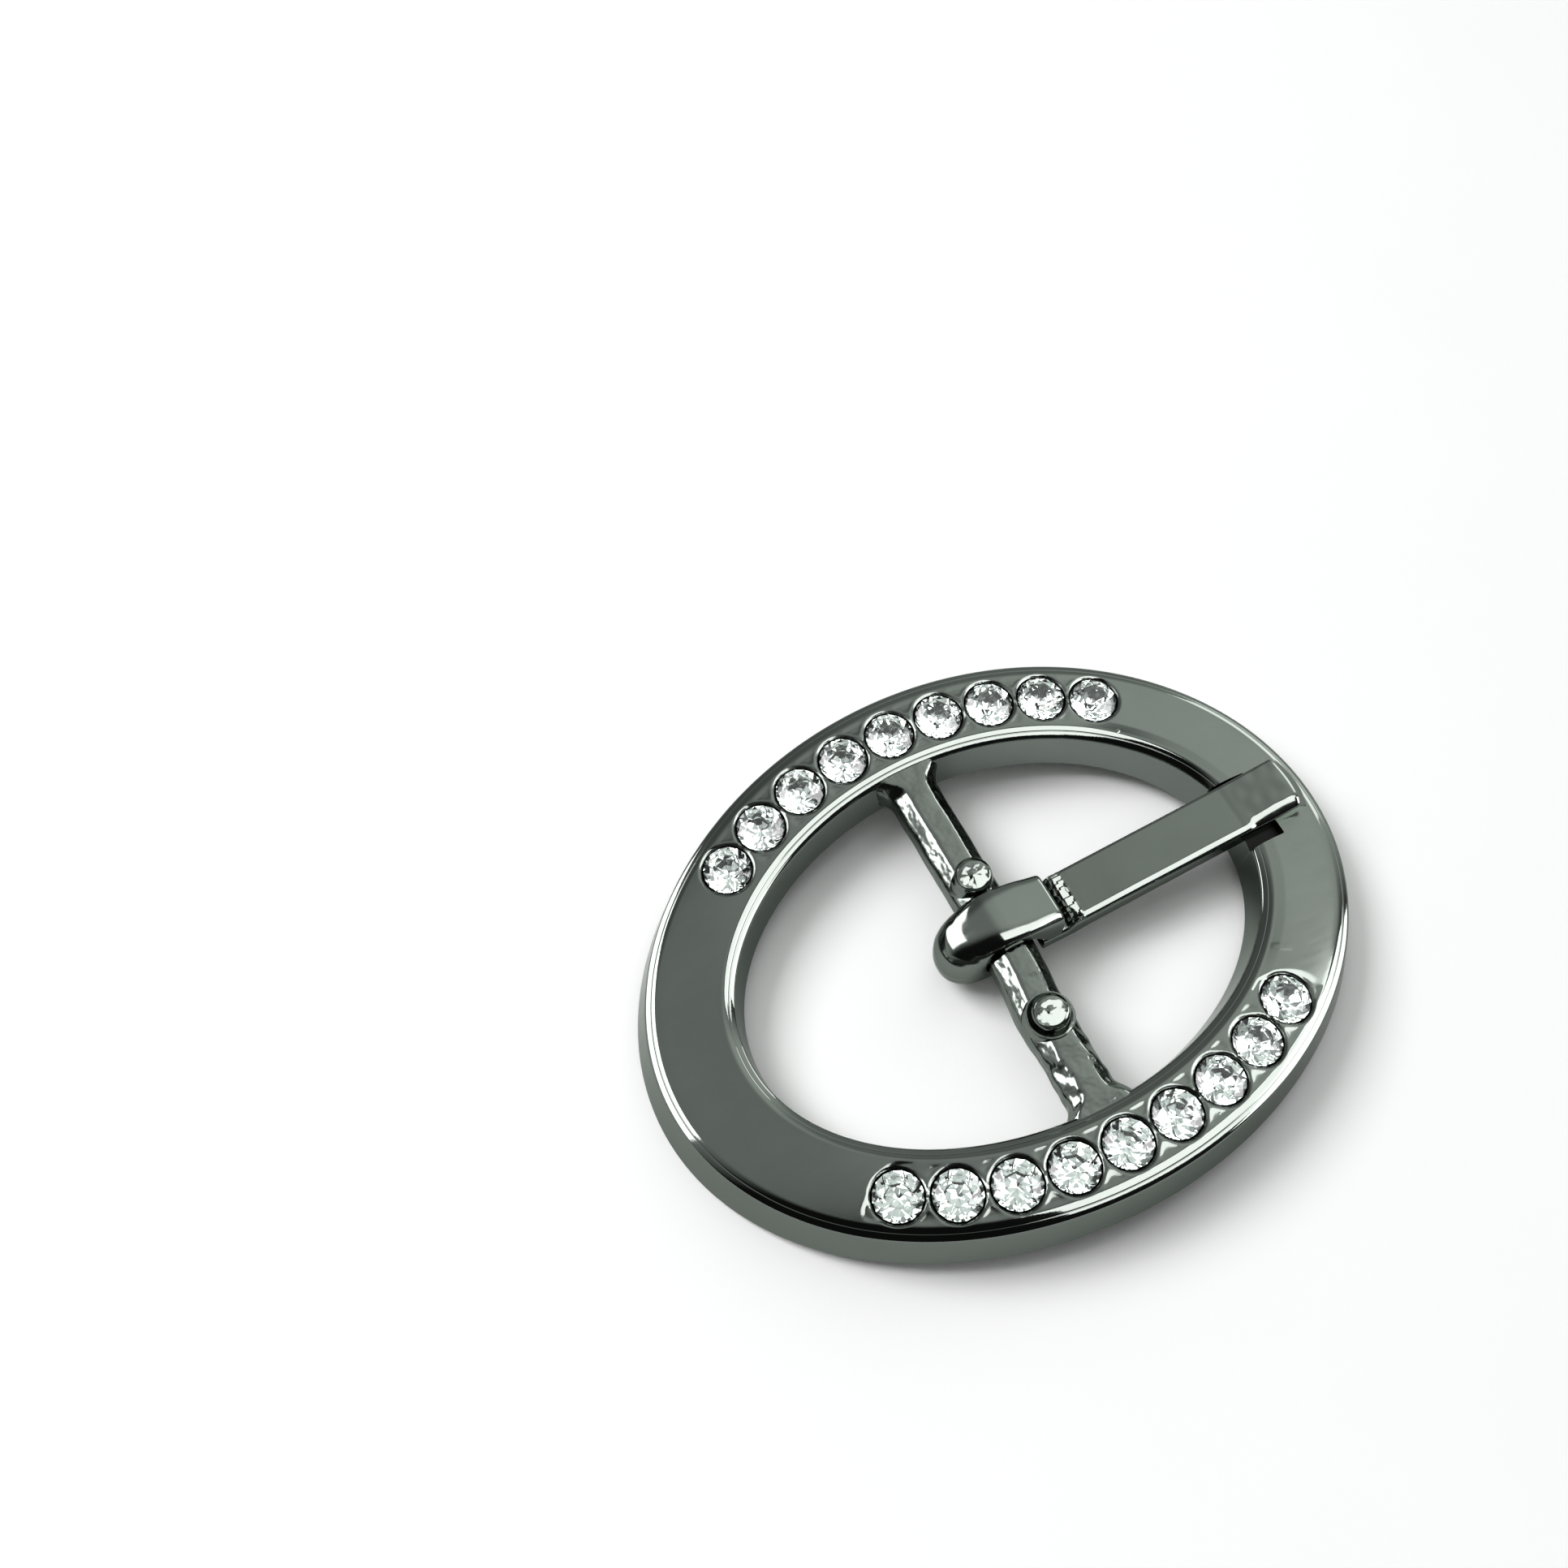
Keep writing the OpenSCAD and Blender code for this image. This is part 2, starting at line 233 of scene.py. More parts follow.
def opening_oval(z):
    """Half axes of the opening's wall at a height: a cone that narrows downwards."""
    lean = OPEN_DRAFT / (HEAD_IN - OPEN_DRAFT_Z)
    a = OPEN_A - lean * (HEAD_IN - z)
    return a, a * OPEN_B / (OPEN_A + lean * (SIDE_HEAD - HEAD_IN))


print("outer wall and opening at the table", outer_oval(0.0), opening_oval(0.0))

# %% [markdown]
# The rims were polished on a soft wheel. Their profile is given by its tilt: level at the face,
# between thirty and forty degrees over most of the width, and upright at the wall. Such a rim
# mirrors one part of the room along its whole width, which gives the broad white and black bands
# of the real one. The outer rim uses the same profile, less deep. A crease halfway, no deeper than
# a scratch, is the thin dark line inside the bands.

# %% Lay out the face and the rims
IN_DEEP, OUT_DEEP = 0.43, 0.31  # how far the inner and the outer rim fall
FACE_ROWS = 41
rim_way = np.concatenate([np.linspace(0, 0.16, 6)[:-1], np.linspace(0.16, 0.40, 4)[:-1],
    np.linspace(0.40, 0.60, 11)[:-1], np.linspace(0.60, 1, 7)])
rim_tilt = np.tan(np.radians(np.interp(rim_way, [0, 0.1, 0.2, 0.45, 0.75, 0.88, 1],
    [77, 50, 39, 34, 29, 15, 6])))
rim_falls = np.diff(rim_way) * (rim_tilt[1:] + rim_tilt[:-1]) / 2
rim_depth = np.concatenate([[0], np.cumsum(rim_falls)])
rim_shape = 1 - rim_depth / rim_depth[-1]
crease = 0.014 * np.exp(-((rim_way - 0.5) / 0.04) ** 2)
in_depth, out_depth = IN_DEEP * rim_shape + crease, OUT_DEEP * rim_shape + crease
cos_t, sin_t = np.cos(theta)[None, :], np.sin(theta)[None, :]


def settle(oval, start, height):
    """X and Y where a wall meets a surface: the height depends on X and X on the height, so both
    are settled in a few rounds."""
    a, b = oval(start)
    for _ in range(6):
        a, b = oval(height(a * cos_t[0]))
    return a * cos_t[0], b * sin_t[0]


crown = 0.02 + 0.06 * smooth_step(0.35, 0.75, abs(sin_t[0]))
lip = 0.07 * smooth_step(0.6, 0.8, cos_t[0])
in_x, in_y = settle(opening_oval, SIDE_HEAD, lambda x: face_z(x) - (in_depth[0] + crown + lip))
out_x, out_y = settle(outer_oval, SIDE_HEAD, lambda x: face_z(x) - (out_depth[0] + crown))
edge_in = (OPEN_A + RIM_W) * cos_t, (OPEN_B + RIM_W) * sin_t
edge_out = (RING_A - RIM_W) * cos_t, (RING_B - RIM_W) * sin_t
across = np.linspace(0, 1, FACE_ROWS)[:, None]
way = rim_way[:, None]


def top_lines(start, rim_in, rim_out, end):
    """Straight across the inner rim, the face and the outer rim, in the rows chosen for each."""
    return np.concatenate([start + way[:-1] * (rim_in - start),
        rim_in + across * (rim_out - rim_in), (end + way[:-1] * (rim_out - end))[::-1]])


X = top_lines(in_x, edge_in[0], edge_out[0], out_x)
Y = top_lines(in_y, edge_in[1], edge_out[1], out_y)
inner_lip = lip * np.clip(1 - across / 0.15, 0, 1)
face_drop = crown * (2 * across - 1) ** 2 + inner_lip
drop = np.concatenate([in_depth[:-1, None] + crown + lip, face_drop,
    out_depth[:-1][::-1, None] + crown])
top_rows = len(X)
rim_rows = len(rim_way) - 1
on_face = np.zeros(top_rows, bool)
on_face[rim_rows:rim_rows + FACE_ROWS] = True
print("rows across the top:", top_rows)

# %% [markdown]
# ## Snapping the grid to round seats and the square notch
# A grid can't show a crisp circle unless points lie on it, so every point nearer to a seat's
# circle than about half a cell is moved onto it. For the notch's straight sides, the nearest point
# of each row or column goes onto the side and its neighbour one small step inside, where the floor
# starts. Distances are measured along the bent face, so a seat stays round on the sloping ends.

# %% Snap to the circles and to the notch
SEAT_R, SNAP_REACH = 1.36, 0.049
along = FACE_R * np.arcsin(X / FACE_R)
for sx, sy, side in seats:
    dx, dy = along - sx, Y - sy
    away = np.hypot(dx, dy)
    snap = (abs(away - SEAT_R) < SNAP_REACH) & on_face[:, None]
    along = np.where(snap, sx + dx * SEAT_R / np.maximum(away, 1e-9), along)
    Y = np.where(snap, sy + dy * SEAT_R / np.maximum(away, 1e-9), Y)
X = FACE_R * np.sin(along / FACE_R)
nearest = np.hypot(along[..., None] - seats[:, 0], Y[..., None] - seats[:, 1]).min(-1)

STEP = 0.06  # width of the notch's upright sides, seen from above
REACH_X, REACH_Y = 0.045, 0.055  # how far past the notch's corners its sides are snapped
row_at = abs(X - NOTCH_X).argmin(0)
cols = np.flatnonzero((cos_t[0] > 0)
    & (abs(Y[row_at, np.arange(columns)] - NOTCH_Y) < NOTCH_W + REACH_Y))
X[row_at[cols], cols] = NOTCH_X
X[row_at[cols] - 1, cols] = NOTCH_X - STEP
for sign in (1, -1):
    col_at = (abs(Y - NOTCH_Y - sign * NOTCH_W) + 100 * (cos_t < 0)).argmin(1)
    here = np.flatnonzero(X[np.arange(top_rows), col_at] < NOTCH_X + REACH_X)
    Y[here, col_at[here]] = NOTCH_Y + sign * NOTCH_W
    Y[here, (col_at[here] - sign) % columns] = NOTCH_Y + sign * (NOTCH_W - STEP)
in_notch = (X < NOTCH_X - STEP / 2) & (abs(Y - NOTCH_Y) < NOTCH_W - STEP / 2) & (X > 10)
print("points in the notch:", in_notch.sum(), "on circles:", (abs(nearest - SEAT_R) < 1e-9).sum())

# %% [markdown]
# ## The sunk strip round each row
# The near row lies in a very shallow strip, squarish at its left end and round at its right end,
# where the light draws a line. Between neighbouring stones of both rows small three-cornered
# pockets are pressed in, and each seat has a narrow bevel that shines as a thin arc.

# %% Depth below the face
def row_distance(x, y, side, shift, power_left, power_right):
    """Distance from the row's middle line; past either end stone it is the distance from that
    stone, squarer for a larger power."""
    angle = np.arctan2(abs(y) * ROW_A, x * ROW_B)
    place = quarter - np.interp(angle, turn, walked)
    radius = np.hypot(x / ROW_A, y / ROW_B)
    offset = (radius - 1) * ROW_A * ROW_B / np.hypot(ROW_B * np.cos(angle), ROW_A * np.sin(angle))
    past_left = np.maximum(-ROW_HALF + shift - place, 0)
    past_right = np.maximum(place - ROW_HALF - shift, 0)
    left = (past_left ** power_left + abs(offset) ** power_left) ** (1 / power_left)
    right = (past_right ** power_right + abs(offset) ** power_right) ** (1 / power_right)
    distance = np.where(past_left > 0, left, np.where(past_right > 0, right, abs(offset)))
    return np.where(y * side > 0, distance, 9.0), place, offset


STRIP_HALF, STRIP_DEEP = 1.62, 0.03  # half width of the sunk strip, and its depth
BEVEL_R, BEVEL_DEEP = 1.49, 0.09
sink = np.zeros_like(X)
pocket = np.zeros_like(X)
across_all = np.concatenate([np.zeros((rim_rows, 1)), across, np.ones((rim_rows, 1))])
clear_of_rims = smooth_step(0.0, 0.035, across_all) * smooth_step(0.0, 0.035, 1 - across_all)
for (side, shift), (left, right) in zip(ROWS, ((2.2, 2.2), (4.0, 2.1))):
    distance, place, offset = row_distance(X, Y, side, shift, left, right)
    past = place - shift
    edge = np.where(past > ROW_HALF, 1.95, STRIP_HALF)
    width = np.where(past > ROW_HALF, 0.34, np.where(past < -ROW_HALF, 0.2, 0.55))
    at_end = smooth_step(ROW_HALF - 0.4, ROW_HALF + 0.8, abs(past))
    depth = STRIP_DEEP + STRIP_DEEP * at_end
    strip = (side < 0) * depth * (1 - smooth_step(edge - width, edge, distance))
    sink = np.maximum(sink, strip * clear_of_rims)
    number = past / PITCH
    between = abs(number - np.floor(number) - 0.5) * PITCH
    inside = (abs(number) < PER_ROW // 2) & (abs(offset) < STRIP_HALF) & (Y * side > 0)
    hollow = inside * (1 - smooth_step(0.30, 0.72, between))
    hollow = hollow * smooth_step(0.75, 1.0, abs(offset))
    pocket = np.maximum(pocket, hollow * (1 - smooth_step(1.28, 1.44, abs(offset))))
pocket *= smooth_step(1.48, 1.66, nearest)
bevel = BEVEL_DEEP * np.clip((BEVEL_R - nearest) / (BEVEL_R - SEAT_R), 0, 1)
print("deepest sunk strip %.3f mm, points in pockets: %d" % (sink.max(), (pocket > 0).sum()))

# %% [markdown]
# Real castings carry small flaws. This one has a short raised mark beside the last near stone and
# a wavy skin. A few slow waves, far too shallow to see as shapes, keep the reflections from
# looking machined.

# %% Small waves and the final heights
def waves(x, y, scale, seed):
    """Sum of eight plane waves in fixed pseudo-random directions, between about -1 and 1."""
    pick = np.random.default_rng(seed)
    headings = pick.uniform(0, 2 * np.pi, 8)
    phases = pick.uniform(0, 2 * np.pi, 8)
    stretches = pick.uniform(0.7, 1.6, 8)
    total = np.zeros_like(x)
    for heading, phase, stretch in zip(headings, phases, stretches):
        run = x * np.cos(heading) + y * np.sin(heading)
        total += np.sin(run * 2 * np.pi / (scale * stretch) + phase)
    return total / 4


def bump_at(x, y, cx, cy, long, wide, heading):
    """A bump shaped as a short bar with a flat top: a high power of the distance along and across a
    heading."""
    u = (x - cx) * np.cos(heading) + (y - cy) * np.sin(heading)
    v = -(x - cx) * np.sin(heading) + (y - cy) * np.cos(heading)
    return np.exp(-(u / long) ** 8 - (v / wide) ** 6)


POCKET_DEEP, SKIN_ROOM = 0.03, 0.004
skin = 0.0022 * waves(X, Y, 4.2, 3) + 0.0008 * waves(X, Y, 1.3, 5)
mark = 0.018 * bump_at(X, Y, 12.2, -7.17, 0.52, 0.19, -0.45)
cut = np.maximum(sink + POCKET_DEEP * pocket, bevel + 0.6 * sink)
Z = face_z(X) - drop - cut - SKIN_ROOM + skin + mark
Z = np.minimum(Z, face_z(X) - 0.0005)
Z = np.where(in_notch, SAG + NOTCH_Z + 0.3 * skin, Z)
print("top between %.2f and %.2f mm" % (Z.min(), Z.max()))

# %% [markdown]
# The walls and the underside finish the grid. A wall is straight from the rim's lower edge to its
# foot, and the underside runs from foot to foot, straight when seen from above.

# %% Close the section with walls and an underside
def wall_rows(head, oval):
    """Straight lines from a rim's points down to the same wall's oval on the underside."""
    x, y = settle(oval, 1.0, under_z)
    return head + steps * (np.stack([x, y, under_z(x)], -1) - head)


top = np.stack([X, Y, Z], -1)
steps = np.array([0.04, 0.12, 0.3, 0.5, 0.7, 0.86, 0.95, 1.0])[:, None, None]
inner_wall, outer_wall = wall_rows(top[0], opening_oval), wall_rows(top[-1], outer_oval)
share = np.array([0.03, 0.1, 0.35, 0.65, 0.9, 0.97])[:, None, None]
below = outer_wall[-1] + share * (inner_wall[-1] - outer_wall[-1])
below[..., 2] = under_z(below[..., 0])
ring_points = np.concatenate([top, outer_wall, below, inner_wall[::-1]])
rows = len(ring_points)
WALL_SHINE, STRIP_SHINE, CUP_SHINE = 0.35, 0.7, 0.6
polish = np.concatenate([np.where(on_face, 0.0, 1.0), np.full(rows - top_rows, WALL_SHINE)])
polish = polish[:, None] * np.ones(columns)
polish[:top_rows] = np.maximum(polish[:top_rows], np.clip(sink / 0.06, 0, 1) * STRIP_SHINE)
edge_shine = np.clip(1 - np.minimum(across, 1 - across) / 0.1, 0, 1) ** 2
polish[:top_rows][on_face] = np.maximum(polish[:top_rows][on_face],
    np.maximum(edge_shine, inner_lip > 0.002))
# marks the notch floor, and further on the cups; the metal paints these points nearly black as
# painted shade
shaded_recess = np.zeros(ring_points.shape[:2])
shaded_recess[:top_rows] = in_notch
print("rows round the section:", rows)

# %% [markdown]
# ## Cutting the seats
# Faces inside a circle are left out, and where the circle crosses a face corner to corner the face
# is split along it. The edges of the hole that is left start a cup: a bevel, a bore and a cone
# below, each ring of it a smaller and lower copy of the first.

# %% Leave out the faces inside the circles
quads = grid_quads(rows, columns, wrap_rows=True, wrap_cols=True)[:, ::-1]
state = np.full((rows, columns), 2)  # 0 inside a seat's circle, 1 on it, 2 outside
state[:top_rows] = np.where(nearest < SEAT_R - 1e-6, 0, np.where(nearest <= SEAT_R + 1e-6, 1, 2))
corner = state.ravel()[quads]
has_in, has_out = (corner == 0).any(1), (corner == 2).any(1)
kept = quads[~has_in & has_out]
crossed = has_in & has_out
first = np.argmax(corner[crossed] == 2, 1)[:, None]
tris = np.take_along_axis(quads[crossed], (first + np.array([-1, 0, 1])) % 4, 1)
print("kept quads:", len(kept), "split:", len(tris))

# %% [markdown]
# Along the notch, a face with one corner at another level than its three others would be torn by
# the wrong diagonal. Such a face is split so that the odd corner has a triangle of its own.

# %% Split the odd faces along the notch
low = shaded_recess.ravel()[kept] > 0
odd = low.sum(1) % 2 == 1
alone = np.argmax(low[odd] == (low[odd].sum(1) == 1)[:, None], 1)[:, None]
tris = np.concatenate([tris] + [np.take_along_axis(kept[odd], (alone + turn_by) % 4, 1)
    for turn_by in ([[-1, 0, 1]], [[1, 2, 3]])])
kept = kept[~odd]
print("odd faces split:", odd.sum())

# %% [markdown]
# An edge of a hole is one that only a single face uses. Two faces that share an edge run along it
# in opposite directions, so an edge whose reverse is nowhere in the list lies at a hole. The cups
# are built on these edges one by one, which leaves no gap even where two points nearly coincide.

# %% Find the edges of the holes
def open_edges(quads, tris, total):
    """Both ends of every edge that only one face uses, in that face's own direction."""
    start = np.concatenate([quads.ravel(), tris.ravel()])
    end = np.concatenate([np.roll(quads, -1, 1).ravel(), np.roll(tris, -1, 1).ravel()])
    single = ~np.isin(start * total + end, end * total + start)
    return start[single], end[single]


hole_start, hole_end = open_edges(kept, tris, rows * columns)
to_seat = np.hypot(along.ravel()[hole_start][:, None] - seats[:, 0],
    Y.ravel()[hole_start][:, None] - seats[:, 1])
hole_of = to_seat.argmin(1)
print("edges of holes:", len(hole_start),
    "farthest from its circle: %.4f mm" % abs(to_seat.min(1) - SEAT_R).max())

# %% Hang a cup in every hole
cup_r = np.array([1.345, 1.335, 1.32, 1.30, 0.85, 0.3])
cup_depth = np.array([0.20, 0.235, 0.31, 0.46, 0.9, 1.5])
CUP_TIP = 1.66  # depth of the cone's point


def bent(walk, y, radius):
    """Points at a radius from the bend's centre: the length walked along the bent face over the
    face's radius is the angle."""
    angle = walk / FACE_R
    return np.stack([radius * np.sin(angle), y, CENTRE_Z + radius * np.cos(angle)], -1)


points = ring_points.reshape(-1, 3)
polish = polish.ravel()
more_points, more_quads, more_tris, total = [], [], [], len(points)
for seat, (sx, sy, side) in enumerate(seats):
    a, b = hole_start[hole_of == seat], hole_end[hole_of == seat]
    loop = np.unique(a)
    angle = np.arctan2(points[loop, 1] - sy, along.ravel()[loop] - sx)
    cup = bent(sx + cup_r[:, None] * np.cos(angle), sy + cup_r[:, None] * np.sin(angle),
        FACE_R - cup_depth[:, None]).reshape(-1, 3)
    ring_of = np.concatenate([loop, total + np.arange(len(cup))]).reshape(-1, len(loop))
    a, b = np.searchsorted(loop, a), np.searchsorted(loop, b)
    wall = np.stack([ring_of[:-1, b], ring_of[:-1, a], ring_of[1:, a], ring_of[1:, b]], -1)
    fan = np.stack([ring_of[-1, b], ring_of[-1, a], np.full(len(a), total + len(cup))], -1)
    more_quads.append(wall.reshape(-1, 4))
    more_tris.append(fan)
    more_points += [cup, bent(sx, sy, FACE_R - CUP_TIP)[None]]
    total += len(cup) + 1
points = np.concatenate([points] + more_points)
polish = np.concatenate([polish, np.full(total - len(polish), CUP_SHINE)])
# the cups under the stones are marked as well, for the same painted shade
shaded_recess = np.concatenate([shaded_recess.ravel(), np.ones(total - shaded_recess.size)])
all_quads = np.concatenate([kept] + more_quads)
all_tris = np.concatenate([tris] + more_tris)
keep = np.zeros(len(points), bool)
keep[all_quads] = True
keep[all_tris] = True
renumber = np.cumsum(keep) - 1
ring = make_piece("ring_casting", points[keep], renumber[all_quads], renumber[all_tris],
    "ring", ["frame"], 38, {"polish": polish[keep], "shaded_recess": shaded_recess[keep]})
print("ring triangles:", 2 * len(all_quads) + len(all_tris))

# %% [markdown]
# ## The bar and its stop studs
# The bar is cast with the ring. It is eight-sided with worn corners, flat above and below, and it
# flares where it meets the ring. Two small staked studs keep the prong from sliding along it. The
# section is carried along Y while its radius changes, and slow waves make it uneven, most of all
# at its near end, which the mould left rough.

# %% The bar
NEAR_STUD, FAR_STUD = (-0.25, -5.0), (0.0, 3.12)  # where the studs stand
BAR_INTO = 0.55  # how far the bar's ends reach into the ring
FLARE, WIDEST = 0.7, 2.2
FLAT_BELOW, FLAT_ABOVE = -1.04, 1.27


def bar_radius(y):
    """Radius of the bar: even in the middle, swelling to its feet at the ring and a little at the
    near stud."""
    foot = smooth_step(OPEN_B - 1.5, OPEN_B + 0.1, abs(y))
    stud = np.exp(-(y - NEAR_STUD[1]) ** 4)
    return BAR_R + FLARE * foot ** 2 + 0.05 * stud


along_y = np.linspace(-OPEN_B - BAR_INTO, OPEN_B + BAR_INTO, 150)
phi = np.linspace(0, 2 * np.pi, 64, endpoint=False)
yy, pp = np.meshgrid(along_y, phi, indexing="ij")
near_end = smooth_step(-5.6, -7.0, yy)
rough = 0.985 + 0.012 * waves(yy, np.cos(pp) * BAR_R, 1.7, 11)
lumps = 0.03 * waves(yy, np.sin(pp) * BAR_R, 1.9, 12) + 0.03 * waves(yy, pp * BAR_R, 0.9, 13)
rough = rough + lumps * near_end
octagon = 1 / np.cos((pp + np.pi / 8) % (np.pi / 4) - np.pi / 8)
octagon = 0.945 * np.minimum(octagon, 1.055)
radius = np.minimum(bar_radius(yy) * rough * octagon, WIDEST)
bx = radius * np.cos(pp) - 0.25 * smooth_step(-1.4, -4.4, yy)
bz = np.clip(radius * np.sin(pp), FLAT_BELOW, FLAT_ABOVE)
ends = [[0, along_y[0], AXIS_Z], [0, along_y[-1], AXIS_Z]]
bar = make_piece("bar", *closed_tube(np.stack([bx, yy, AXIS_Z + bz], -1), ends, flip=True),
    crease=50)

# %% [markdown]
# A staked stud is a short post whose top was struck with a punch: a rough bright disc, a dark
# ring round it and a rounded shoulder. It is a profile turned about an upright axis, and the top
# is tilted and roughened with small waves. The near one stands in a collar of metal that the blow
# pushed up. Two points close it, one in the middle of its top and one below.

# %% The studs
plain_foot = [(1.26, 0.55), (1.10, 0.86), (1.02, 1.10)]
collar_foot = [(1.36, 0.70), (1.32, 1.18), (1.25, 1.36), (1.16, 1.37), (1.08, 1.27)]
stud_top = [(1.00, 1.40), (0.99, 1.70), (0.98, 1.86), (0.95, 1.97), (0.92, 2.01), (0.89, 1.98),
    (0.87, 1.93), (0.83, 1.97), (0.72, 2.02), (0.55, 2.04), (0.35, 2.04), (0.15, 2.04)]
MIDDLE_UP, HIGHEST = 2.02, 2.09  # of a stud's top, above the bar's axis


def make_stud(name, place, seed, foot):
    """A profile of radii and heights turned about an upright axis; its top slopes down to the near
    side and is a little wavy."""
    x, y = place
    profile_r, profile_z = np.array(foot + stud_top).T
    rr, aa = np.meshgrid(profile_r, np.linspace(0, 2 * np.pi, 56, endpoint=False), indexing="ij")
    wob = 1 + 0.03 * np.sin(2 * aa + seed) * smooth_step(1.0, 0.7, rr)
    px, py = rr * wob * np.cos(aa), rr * wob * np.sin(aa)
    struck = smooth_step(0.87, 0.78, rr)
    pz = profile_z[:, None] + (0.012 * waves(px, py, 0.3, seed) + 0.2 * py - 0.1) * struck
    pz = np.minimum(pz, HIGHEST)
    ends = [[x, y, AXIS_Z + profile_z[0]], [x, y, AXIS_Z + MIDDLE_UP]]
    grid = np.stack([x + px, y + py, AXIS_Z + pz], -1)
    piece = make_piece(name, *closed_tube(grid, ends))
    return piece


studs = [make_stud("stud_near", NEAR_STUD, 21, collar_foot),
    make_stud("stud_far", FAR_STUD, 22, plain_foot)]

# %% [markdown]
# ## The prong
# The prong is one casting: a thimble-shaped knuckle that wraps the bar as an open hook, a shoulder
# that ends in a square step, and a long strip that rests in the notch with its tip. Seen from the
# side, the knuckle lies between two lines of points. A rounded section is stretched from the inner
# line to the outer one, station after station, from the hook's open end round to the step.

# %% The side lines of the knuckle
BORE_R = 1.60
outer_line = np.array([(1.95, -1.72), (1.90, -2.12), (1.62, -2.33), (0.9, -2.37), (0.0, -2.37),
    (-1.1, -2.38), (-2.3, -2.32), (-3.0, -2.08), (-3.34, -1.6), (-3.47, -0.8), (-3.45, 0.0),
    (-3.25, 0.66), (-2.8, 1.26), (-2.1, 1.76), (-1.4, 2.12), (-0.95, 2.28), (-0.5, 2.36),
    (0.1, 2.32), (0.95, 2.16), (1.7, 2.0), (2.3, 1.85), (2.82, 1.71), (3.02, 1.65), (3.06, 1.52)])
inner_line = outer_line / np.linalg.norm(outer_line, axis=1, keepdims=True) * BORE_R
inner_line[-5:] = [(1.2, 1.1), (1.95, 0.1), (2.6, -0.8), (2.96, -1.1), (3.06, -1.14)]


def run_along(line, other, count):
    """Both lines read at even steps of the first one's length, after three rounds of averaging that
    soften its corners."""
    length = np.concatenate([[0], np.cumsum(np.linalg.norm(np.diff(line, axis=0), axis=1))])
    steps = np.linspace(0, length[-1], count)
    columns_of = np.concatenate([line, other], 1).T
    both = np.stack([np.interp(steps, length, values) for values in columns_of], 1)
    for _ in range(3):
        both[1:-1] = (both[:-2] + 2 * both[1:-1] + both[2:]) / 4
    return both[:, :2], both[:, 2:], steps / length[-1]


outer_path, inner_path, share = run_along(outer_line, inner_line, 150)
print("stations along the knuckle:", len(share))

# %% [markdown]
# The section is a superellipse: a circle whose power is raised, so that it grows square. At the
# back the power is near two and the knuckle is round like a thimble; at the step it is seven, and
# the section has flat sides and a flat top. The bore side is straight across.

# %% Carry the section along
power = np.interp(share, [0, 0.25, 0.42, 0.62, 0.72, 0.84, 1.0],
    [3.6, 3.0, 2.1, 2.15, 2.8, 4.0, 7.0])[:, None]
half_w = np.interp(share, [0, 0.3, 0.75, 1.0], [1.48, 1.60, 1.60, 1.50])[:, None]
middle_y = np.interp(share, [0, 0.75, 1.0], [0.50, 0.50, 0.42])[:, None]
sweep = np.linspace(0, np.pi, 41)[None, :]
across_y = np.sign(np.cos(sweep)) * abs(np.cos(sweep)) ** (2 / power)
out_way = abs(np.sin(sweep)) ** (2 / power)
bore_y = np.array([-0.97, -0.5, 0.0, 0.5, 0.97])[None, :] * np.ones_like(power)
loop_y = middle_y + half_w * np.concatenate([across_y, bore_y], 1)
bore_way = np.interp(share, [0, 0.74, 0.82, 1.0], [-0.13, -0.13, -0.02, -0.02])[:, None]
loop_way = np.concatenate([out_way, np.zeros_like(bore_y)], 1)[:, :, None]
reach = outer_path - inner_path
inward = inner_path / np.linalg.norm(inner_path, axis=1, keepdims=True)
sunk = np.concatenate([np.zeros_like(across_y), bore_way * np.ones_like(bore_y)], 1)[:, :, None]
xz = inner_path[:, None] + loop_way * reach[:, None] + sunk * inward[:, None]
hook_grid = np.stack([xz[..., 0], loop_y, AXIS_Z + xz[..., 1]], -1)
hook = make_piece("prong_knuckle", *closed_tube(hook_grid), "prong_arm", ["prong"], 42)

# %% [markdown]
# The strip's outline seen from the side is two lines of points, one above and one below. Reading
# both at the same X gives the height of each section. The section is a flat bar whose top edges
# bend down ever faster, and the bend is wider on the near side. Its root is buried in the knuckle
# behind the step, and just past the step the metal is torn into small slanting ridges that glitter.
# The tip was struck flatter, and its near edge pressed down. Its end is an arc seen from above.

# %% The side lines of the strip
PRONG_Y, STRIP_W = 0.35, 2.96
ROOT_X, FINE_X, TIP_X = 2.0, 5.3, 18.13
top_line = np.array([(ROOT_X, -0.22), (3.24, -0.24), (3.49, -0.2), (3.79, 0.18), (3.94, 0.25),
    (4.54, 0.29), (4.84, 0.32), (9.0, 0.68), (13.8, 1.08), (14.05, 1.10), (14.3, 1.14),
    (17.15, 1.55), (17.35, 1.565), (17.5, 1.50), (18.0, 1.02), (18.07, 0.9), (TIP_X, 0.5)])
low_line = np.array([(ROOT_X, -1.22), (3.6, -1.22), (5.1, -0.96), (13.7, -0.19), (16.0, 0.16),
    (16.06, 0.38), (TIP_X, 0.47)])
stations = np.unique(np.concatenate([top_line[:, 0], low_line[:, 0],
    np.linspace(ROOT_X, FINE_X, 66), np.linspace(FINE_X, TIP_X, 120)]))
upper = np.interp(stations, top_line[:, 0], top_line[:, 1])
lower = np.interp(stations, low_line[:, 0], low_line[:, 1])
print("stations along the strip:", len(stations))

